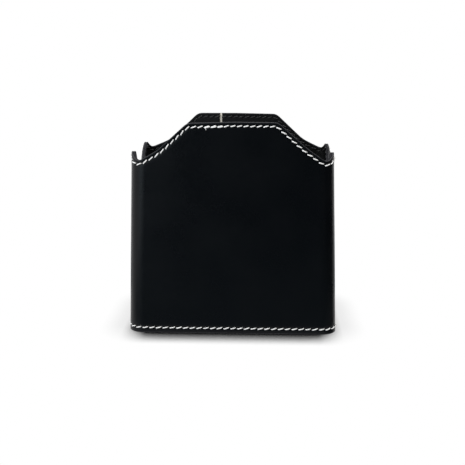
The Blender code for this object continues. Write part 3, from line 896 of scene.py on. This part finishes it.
def ring(inset, height, round_radius=0.0, share=0.0, count=240):
    """A ring of the plan stepped inward at a height, turned towards a circle by a share."""
    points = []
    for i in range(count):
        x, y = plan_point(PERIMETER * i / count, min(inset, CORNER - 0.6))
        pull = LEAN * height * max(-1.0, min(1.0, x / FRONT_FLAT))
        x -= pull
        away = math.hypot(x, y)
        cx, cy = x / away * round_radius, y / away * round_radius
        points.append((x * (1 - share) + cx * share, y * (1 - share) + cy * share, height))
    return points


def loft(name, rings):
    """A closed skin over rings of equal count."""
    points = [tuple(c * MM for c in point) for one in rings for point in one]
    made = mesh_object(name, points, bands(len(rings), len(rings[0]), closed=True))
    outward(made)
    made.data.shade_smooth()
    made.data.set_sharp_from_angle(angle=math.radians(50))
    return made


def outward(piece):
    """Merges doubles and turns every face outwards."""
    bm = bmesh.new()
    bm.from_mesh(piece.data)
    bmesh.ops.remove_doubles(bm, verts=bm.verts, dist=1e-7)
    bmesh.ops.recalc_face_normals(bm, faces=bm.faces)
    bm.to_mesh(piece.data)
    bm.free()


# %% Press the tray
TRAY_TOP, TRAY_UNDER, BEND = 9.9, 8.5, 2.6


def tray_profile():
    """Rings over the tray: up the outside of its rim, across the top, and back underneath."""
    rings = [ring(1.75, 0.0), ring(1.5, 0.1), ring(TRAY_OUTSIDE, 0.4)]
    rings += [ring(TRAY_OUTSIDE, z) for z in (1.6, 2.6, 3.2, 3.8, 5.2)]
    for i in range(9):
        a = math.pi / 2 * i / 8
        rings.append(ring(TRAY_OUTSIDE + BEND * (1 - math.cos(a)),
                          TRAY_TOP - BEND + BEND * math.sin(a)))
    steps = (0.12, 0.3, 0.5, 0.7, 0.86, 0.95)
    rings += [ring(5.0, TRAY_TOP - 0.04 * math.sin(7 * t), HOLE + 0.4, t) for t in steps]
    rings += [ring(5.0, TRAY_TOP, HOLE + 0.4, 1), ring(5.0, TRAY_TOP - 0.2, HOLE, 1),
              ring(5.0, TRAY_UNDER + 0.2, HOLE, 1), ring(5.0, TRAY_UNDER, HOLE + 0.4, 1)]
    rings += [ring(5.0, TRAY_UNDER, HOLE + 0.4, t) for t in reversed(steps)]
    bend = BEND - (TRAY_TOP - TRAY_UNDER)
    for i in range(9):
        a = math.pi / 2 * (1 - i / 8)
        rings.append(ring(TRAY_INSIDE + bend * (1 - math.cos(a)),
                          TRAY_UNDER - bend + bend * math.sin(a)))
    rings += [ring(TRAY_INSIDE, z) for z in (5.2, 4.1, 3.6, 3.2, 2.8, 2.3, 0.4)]
    return rings + [ring(2.72, 0.1), ring(2.5, 0.0)]


tray = loft("pressed_base_tray", tray_profile())
print(f"tray has {len(tray.data.polygons)} faces")

# %% [markdown]
# ## The felt floor
# Above the tray lie a stiff board and a felt pad that the camera stands on. Felt has no weave and
# no crisp edge: its edge is rounded over and its face rises and falls a little. It is cut loose
# from the wall, with a hole round the washer.

# %% Felt pad
PAD_LOW, PAD_HIGH, PAD_HOLE = 12.0, 15.0, 7.3


def pad_profile():
    """Rings over the pad: up its outer edge, across the top, down the hole and back underneath."""
    side = [(0.9, 0.0), (0.45, 0.12), (0.12, 0.45), (0.0, 1.1), (0.0, 1.9), (0.12, 2.5),
            (0.45, 2.85), (0.95, 3.0)]
    rings = [ring(2.4 + inward, PAD_LOW + rise) for inward, rise in side]
    across = (0.1, 0.24, 0.4, 0.56, 0.72, 0.86, 0.94)
    rings += [ring(4.5, PAD_HIGH, PAD_HOLE + 0.8, t) for t in across]
    rings += [ring(4.5, PAD_LOW + rise, PAD_HOLE + inward * 0.8, 1) for inward, rise in side[::-1]]
    return rings + [ring(4.5, PAD_LOW, PAD_HOLE + 0.8, t) for t in across[::-1]]


pad = loft("felt_floor_pad", pad_profile())
for vertex in pad.data.vertices:
    if vertex.co.z > (PAD_HIGH - 0.2) * MM:
        spot = vertex.co / (9 * MM)
        vertex.co.z -= (0.5 + 0.5 * noise.noise(spot)) * 0.22 * MM
print(f"pad is {pad.dimensions.x / MM:.1f} x {pad.dimensions.y / MM:.1f} mm")

# %% [markdown]
# ## Metal fittings
# An eyelet lines the hole, a washer spreads its load, and a spring clip in a groove keeps the
# screw from falling out, yet lets it turn and float. All of them are turned or stamped rounds,
# so each is one outline of radius and height, spun round the axis.


# %% Spin an outline
def spun(name, outline, steps=72, mouth=0.0):
    """A closed outline of (radius, height) spun round Z, or a C where mouth leaves a gap to +X."""
    turn = 2 * math.pi - mouth
    columns = steps if not mouth else steps + 1
    points = []
    for i in range(columns):
        a = mouth / 2 + turn * i / steps
        points += [(r * math.cos(a) * MM, r * math.sin(a) * MM, z * MM) for r, z in outline]
    size = len(outline)
    faces = bands(columns, size, closed=not mouth)
    if mouth:
        faces += [tuple(range(size)), tuple((columns - 1) * size + j for j in range(size))[::-1]]
    made = mesh_object(name, points, faces)
    outward(made)
    made.data.shade_smooth()
    made.data.set_sharp_from_angle(angle=math.radians(32))
    return made


eyelet = spun("brass_eyelet", [(3.5, 12.5), (3.5, 8.0), (3.7, 7.75), (4.1, 7.6), (6.5, 7.6),
                               (6.85, 7.7), (7.0, 7.95), (6.9, 8.15), (4.6, 8.2), (4.2, 8.5),
                               (4.2, 12.6), (3.6, 12.6)])
washer = spun("eyelet_washer_ring", [(4.3, 12.0), (6.85, 12.0), (7.0, 12.15), (7.0, 12.45),
                                     (6.85, 12.6), (4.45, 12.6), (4.3, 12.45)])
clip = spun("spring_clip", [(2.3, 13.0), (2.4, 12.9), (5.25, 12.9), (5.4, 13.05), (5.4, 13.45),
                            (5.25, 13.6), (2.4, 13.6), (2.3, 13.5)], mouth=math.radians(70))

# %% [markdown]
# ## The captive screw
# The knob is turned, and its rim is knurled straight so that fingers can grip it. The stud has
# the common quarter-inch thread of tripods, twenty turns to the inch. Knurling and thread both
# follow a rule, so both are Geometry Nodes: one rib repeated round a circle, and a ridge drawn
# along a helix.

# %% Knob and stud
KNOB_RADIUS, KNOB_LOW, KNOB_HIGH = 9.0, 0.5, 6.1
RIB_COUNT, RIB_DEPTH = 60, 0.35
STUD_RADIUS, STUD_LOW, PITCH = 3.175, 13.7, 1.27
THREAD_TURNS, THREAD_START = 3.3, STUD_LOW + 0.65
core = STUD_RADIUS - 0.613 * PITCH  # the depth of a Unified thread is 0.613 of its pitch
body_radius = KNOB_RADIUS - RIB_DEPTH
screw_body = spun("screw_body", [
    (0.001, 4.9), (2.35, 4.9), (2.6, 4.65), (2.6, 0.75), (2.85, 0.5), (body_radius - 0.6, 0.5),
    (body_radius - 0.15, 0.65), (body_radius, 1.1), (body_radius, 5.5), (body_radius - 0.15, 5.95),
    (body_radius - 0.6, 6.1), (3.3, 6.1), (2.9, 6.4), (2.9, 12.7), (2.8, 12.8), (2.2, 12.8),
    (2.2, 13.7), (core, 13.8), (core, 18.7), (core - 0.5, 19.3), (0.001, 19.3)], 96)


# %% Knurl by instances
def knurl_tree():
    """One rib on every corner of a circle, facing outwards."""
    tree, given = new_tree("knurl", [
        ("Ribs", "NodeSocketInt", RIB_COUNT),
        ("Radius", "NodeSocketFloat", 0.0),
        ("Metal", "NodeSocketMaterial", None),
    ])
    circle = add_node(tree, "GeometryNodeMeshCircle",
                      {"Vertices": given["Ribs"], "Radius": given["Radius"]})
    spot = add_node(tree, "GeometryNodeInputPosition")
    facing = add_node(tree, "FunctionNodeAlignRotationToVector", {"Vector": spot}, axis="X")
    put = add_node(tree, "GeometryNodeInstanceOnPoints", {
        "Points": circle, "Instance": given["Geometry"], "Rotation": facing})
    return end_tree(tree, put, given["Metal"])


def rib_object():
    """One rib of the knurl: a ridge that fades at both ends, closed where it sits in the knob."""
    half = 0.42 * 2 * math.pi * body_radius / RIB_COUNT
    outline = [(-0.25, -half), (0.0, -half), (RIB_DEPTH * 0.8, -half * 0.4), (RIB_DEPTH, 0.0),
               (RIB_DEPTH * 0.8, half * 0.4), (0.0, half), (-0.25, half)]
    levels = [(KNOB_LOW + 0.35, 0.0), (KNOB_LOW + 0.75, 1.0), (KNOB_HIGH - 0.75, 1.0),
              (KNOB_HIGH - 0.35, 0.0)]
    points = [((max(x, 0) * fade + min(x, 0)) * MM, y * MM, z * MM) for z, fade in levels
              for x, y in outline]
    size = len(outline)
    faces = bands(len(levels), size)
    faces += [tuple(range(size)), tuple((len(levels) - 1) * size + j for j in range(size))]
    rib = mesh_object("rib", points, faces)
    outward(rib)
    return rib


# %% Thread along a helix
def thread_tree():
    """A ridge swept along a helix, with closed ends."""
    tree, given = new_tree("screw_thread", [
        ("Turns", "NodeSocketFloat", 4.0),
        ("Pitch", "NodeSocketFloat", PITCH * MM),
        ("Core radius", "NodeSocketFloat", core * MM),
        ("Metal", "NodeSocketMaterial", None),
    ])
    rise = add_node(tree, "ShaderNodeMath", {0: given["Turns"], 1: given["Pitch"]},
                    operation="MULTIPLY")
    helix = add_node(tree, "GeometryNodeCurveSpiral", {
        "Rotations": given["Turns"], "Start Radius": given["Core radius"],
        "End Radius": given["Core radius"], "Height": rise}, {"Resolution": 40})
    upright = add_node(tree, "GeometryNodeSetCurveNormal", {0: helix}, mode="Z_UP")
    profile = add_node(tree, "GeometryNodeMeshToCurve", {"Mesh": given["Geometry"]})
    swept = add_node(tree, "GeometryNodeCurveToMesh",
                     {"Curve": upright, "Profile Curve": profile}, {"Fill Caps": True})
    return end_tree(tree, swept, given["Metal"])


# %% Make the knurl and the thread
ribs = piece_from_tree("knob_knurl", rib_object(), knurl_tree(), Ribs=RIB_COUNT,
                       Radius=body_radius * MM, Metal=nickel)
depth, width = STUD_RADIUS - core, PITCH * 0.44
ridge_points = [(-0.15, -width), (0.0, -width), (depth, -0.08), (depth, 0.08), (0.0, width),
                (-0.15, width)]
ridge = mesh_object("ridge", [(x * MM, y * MM, 0) for x, y in ridge_points], [],
                    [(i, (i + 1) % 6) for i in range(6)])
thread = piece_from_tree("stud_thread", ridge, thread_tree(), Turns=THREAD_TURNS, Metal=nickel)
radial = [math.hypot(v.co.x, v.co.y) / MM for v in thread.data.vertices]
print(f"thread radius runs from {min(radial):.2f} to {max(radial):.2f} mm")
for vertex in thread.data.vertices:
    vertex.co.z += THREAD_START * MM
for piece in (ribs, thread):
    outward(piece)
tray.data.materials.append(calf)
pad.data.materials.append(felt)
for fitting in (eyelet, washer, clip, screw_body):
    fitting.data.materials.append(nickel)

# %% [markdown]
# ## Tape over the joint
# The wall's two ends meet at the back, where a cotton tape is glued over them under the lining.
# The lining stops short on both sides, so a pale strip of the tape shows.

# %% Tape
def tape_piece(columns=13, count=60, ripple=0.03):
    """A thin closed strip from the lining's foot to just under the top edge, folded like it."""
    places = np.linspace(JOINT - TAPE_WIDTH / 2, JOINT + TAPE_WIDTH / 2, columns)
    rows = np.array([LINING_FOOT + (edge_height(places) - 0.25 - LINING_FOOT) * t
                     for t in np.linspace(0, 1, count)])
    weave = ripple * np.sin(np.arange(count) * 2.1)[:, None] * np.ones(columns)
    grid = np.concatenate([
        np.stack([np.broadcast_to(places, rows.shape), np.full(rows.shape, TAPE[0]), rows], -1),
        np.stack([np.broadcast_to(places, rows.shape), TAPE[1] - ripple + weave, rows],
                 -1)[::-1]])
    index = np.arange(2 * count * columns).reshape(2 * count, columns)
    after = np.roll(index, -1, axis=0)
    faces = np.stack([index[:, :-1], index[:, 1:], after[:, 1:], after[:, :-1]], -1)
    faces = faces.reshape(-1, 4).tolist() + [index[:, 0].tolist(), index[:, -1].tolist()[::-1]]
    flat = mesh_object("tape_cut", (grid.reshape(-1, 3) * MM).tolist(), faces)
    made = piece_from_tree("joint_tape", flat, fold_sheet, Former=former, Finish=cotton)
    made.data.shade_smooth()
    return made


tape = tape_piece()
print(f"tape has {len(tape.data.polygons)} faces")

# %% [markdown]
# ## The studio
# A pale floor, a broad soft light from the left, a weaker one from the right and one overhead.
# The world is white to the camera and to reflections, and far dimmer as a light, so that black
# leather isn't greyed. Only the camera sees the floor, which shows the case's contact shadow
# through ambient occlusion. A glossy black thing shows little but what it mirrors, so reflections
# are set as in a product studio: dark cards and mats before the broad walls and one white card
# at the left corner. Only reflections see them.


# %% Stage
def sharp_rays(tree):
    """1 for camera, glossy and transmission rays, which all see the white background."""
    rays = add_node(tree, "ShaderNodeLightPath").outputs
    gloss = add_node(tree, "ShaderNodeMath",
                     {0: rays["Is Glossy Ray"], 1: rays["Is Transmission Ray"]},
                     operation="MAXIMUM")
    return add_node(tree, "ShaderNodeMath", {0: rays["Is Camera Ray"], 1: gloss},
                    operation="MAXIMUM")


def stage_floor():
    """White to the camera except in the contact shadow, and clear from below."""
    made, tree, shader, place = new_material("pale_paper_floor")
    tree.nodes.remove(shader)
    # The contact shadow is painted into the floor's glow: ambient occlusion, deepened by a power
    # and faded at the sides by the distance across X.
    shade = add_node(tree, "ShaderNodeAmbientOcclusion", values={"Distance": 0.019}, samples=8)
    open_share = add_node(tree, "ShaderNodeMapRange", {"Value": shade.outputs["AO"]},
                          {"From Min": 0.47, "From Max": 0.97})
    deep = add_node(tree, "ShaderNodeMath", {0: open_share}, {1: 2.3}, operation="POWER")
    across = add_node(tree, "ShaderNodeSeparateXYZ", {0: place}).outputs["X"]
    away = add_node(tree, "ShaderNodeMath", {0: across}, operation="ABSOLUTE")
    thin = add_node(tree, "ShaderNodeMapRange", {"Value": away},
                    {"From Min": 0.050, "From Max": 0.064, "To Max": 0.8})
    shadow = add_node(tree, "ShaderNodeMix", {"Factor": thin, "A": deep}, {"B": 1.0})
    seen = add_node(tree, "ShaderNodeEmission", {"Color": shadow})
    under = add_node(tree, "ShaderNodeNewGeometry").outputs["Backfacing"]
    clear = add_node(tree, "ShaderNodeBsdfTransparent")
    one_sided = add_node(tree, "ShaderNodeMixShader", {0: under, 1: seen, 2: clear})
    feed(tree, tree.nodes["Material Output"], {"Surface": one_sided})
    size = 4.0
    corners = [(-size, -size, 0), (size, -size, 0), (size, size, 0), (-size, size, 0)]
    floor = mesh_object("floor", corners, [(0, 1, 2, 3)])
    floor.data.materials.append(made)
    floor.visible_diffuse = floor.visible_glossy = floor.visible_shadow = False


def soft_light(name, place, aim, width, height, power, tint):
    """A soft box: an area lamp at a place, turned to aim, with its power in watts."""
    lamp = bpy.data.lights.new(name, "AREA")
    lamp.shape = "RECTANGLE"
    lamp.size, lamp.size_y = width, height
    lamp.energy, lamp.color = power, tint
    holder = bpy.data.objects.new(name, lamp)
    bpy.context.scene.collection.objects.link(holder)
    holder.location = place
    holder.rotation_euler = (Vector(aim) - Vector(place)).to_track_quat("-Z", "Y").to_euler()
    return holder


def studio_world(seen, light):
    """A white surround: one strength for what is seen in it, another for the light it gives."""
    world = bpy.data.worlds.new("studio")
    bpy.context.scene.world = world
    world.use_nodes = True
    tree = world.node_tree
    level = add_node(tree, "ShaderNodeMix", {"Factor": sharp_rays(tree)}, {"A": light, "B": seen})
    tree.nodes["Background"].inputs["Color"].default_value = (1.0, 1.0, 1.0, 1.0)
    feed(tree, tree.nodes["Background"], {"Strength": level})


def reflection_card(name, points, faces, colour, strength):
    """A card that only reflections see, as a photographer flags a glossy black object."""
    made, tree, shader, _ = new_material(name)
    tree.nodes.remove(shader)
    glow = add_node(tree, "ShaderNodeEmission", values={"Color": colour, "Strength": strength})
    feed(tree, tree.nodes["Material Output"], {"Surface": glow})
    card = mesh_object(name, points, faces)
    card.data.materials.append(made)
    card.visible_camera = card.visible_diffuse = card.visible_shadow = False
    card.visible_transmission = card.visible_volume_scatter = False


def standing_card(name, middle, width, height, colour, strength):
    """An upright card that faces the case."""
    middle = Vector(middle)
    across = Vector((-middle.y, middle.x, 0)).normalized() * width / 2
    up = Vector((0, 0, height / 2))
    corners = [tuple(middle + a * across + b * up)
               for a, b in ((-1, -1), (1, -1), (1, 1), (-1, 1))]
    reflection_card(name, corners, [(0, 1, 2, 3)], colour, strength)


def dark_mats(name, half_width, near, far, strength):
    """A mat before and behind, so that the broad walls don't mirror a white floor."""
    points, faces = [], []
    for side in (-1, 1):
        start = len(points)
        points += [(-half_width, side * near, 0.0004), (half_width, side * near, 0.0004),
                   (half_width, side * far, 0.0004), (-half_width, side * far, 0.0004)]
        faces.append(tuple(range(start, start + 4))[::-side])
    reflection_card(name, points, faces, COOL, strength)


COOL = (0.72, 0.90, 1.0, 1.0)  # the cold cast of what the leather mirrors
stage_floor()
dark_mats("near_mats", 0.15, 0.042, 0.20, 0.26)
dark_mats("far_mats", 0.15, 0.20, 1.15, 0.12)
standing_card("dark_card", (0.0, -1.3, 0.5), 2.2, 1.6, COOL, 0.03)
standing_card("grey_card", (0.36, -0.08, 0.15), 0.56, 0.60, COOL, 0.04)
standing_card("white_card", (-0.26, -0.34, 0.16), 0.24, 0.30, COOL, 1.7)
studio_world(1.0, 0.42)
soft_light("key", (-0.60, -0.75, 0.35), (0, 0, 0.06), 0.45, 0.8, 7.0, (0.90, 0.95, 1.0))
soft_light("fill", (0.9, -0.25, 0.45), (0, 0, 0.06), 0.5, 0.6, 1.4, (1.0, 0.99, 0.97))
soft_light("overhead", (0.0, 0.1, 0.9), (0, 0, 0.0), 0.7, 0.7, 7.0, (1.0, 1.0, 1.0))
bpy.context.scene.view_settings.view_transform = "Standard"
print(f"{len(bpy.data.lights)} lamps round the case")

# %% [markdown]
# ## The camera
# The camera stands at the height of a person's hand above a table top, nearly half a metre away,
# and looks down a little. So near, the far ears of the case look smaller than the front ones.

# %% Camera
CAMERA_AT = Vector((18.0, -472.7, 156.1)) * MM
CAMERA_PITCH, CAMERA_TURN = math.radians(12.45), math.radians(2.31)
lens = bpy.data.cameras.new("camera")
lens.lens, lens.sensor_width = 61.94, 36.0  # mm
camera = bpy.data.objects.new("camera", lens)
bpy.context.scene.collection.objects.link(camera)
camera.location = CAMERA_AT
camera.rotation_euler = (math.pi / 2 - CAMERA_PITCH, 0.0, CAMERA_TURN)
bpy.context.scene.camera = camera
print(f"camera stands {CAMERA_AT.length:.2f} m from the case")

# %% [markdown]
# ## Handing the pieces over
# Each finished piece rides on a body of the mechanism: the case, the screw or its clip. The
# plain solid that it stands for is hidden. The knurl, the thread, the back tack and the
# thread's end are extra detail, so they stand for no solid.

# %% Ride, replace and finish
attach(wall, "case"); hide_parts("wall_leather")
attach(lining, "case"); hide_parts("wall_lining")
for node, piece in seams.items():
    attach(piece, "case"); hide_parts(node)
for piece in extra:
    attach(piece, "case")
for piece, body, node, slot in (
    (tray, "case", "base_leather", "black_leather"),
    (tape, "case", "seam_tape", "cotton_tape"),
    (pad, "case", "floor_pad", "black_felt"),
    (eyelet, "case", "base_eyelet", "nickel_plate"),
    (washer, "case", "eyelet_washer", "nickel_plate"),
    (clip, "clip", "retaining_clip", "nickel_plate"),
    (screw_body, "screw", "tripod_screw", "nickel_plate"),
    (ribs, "screw", None, "nickel_plate"),
    (thread, "screw", None, "nickel_plate"),
):
    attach(piece, body)
    if node:
        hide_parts(node)
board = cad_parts["base_board"]
board.data.materials.clear()
board.data.materials.append(fibre)
for helper in (former, dash, bobbin_dash, stub):
    bpy.data.objects.remove(helper)
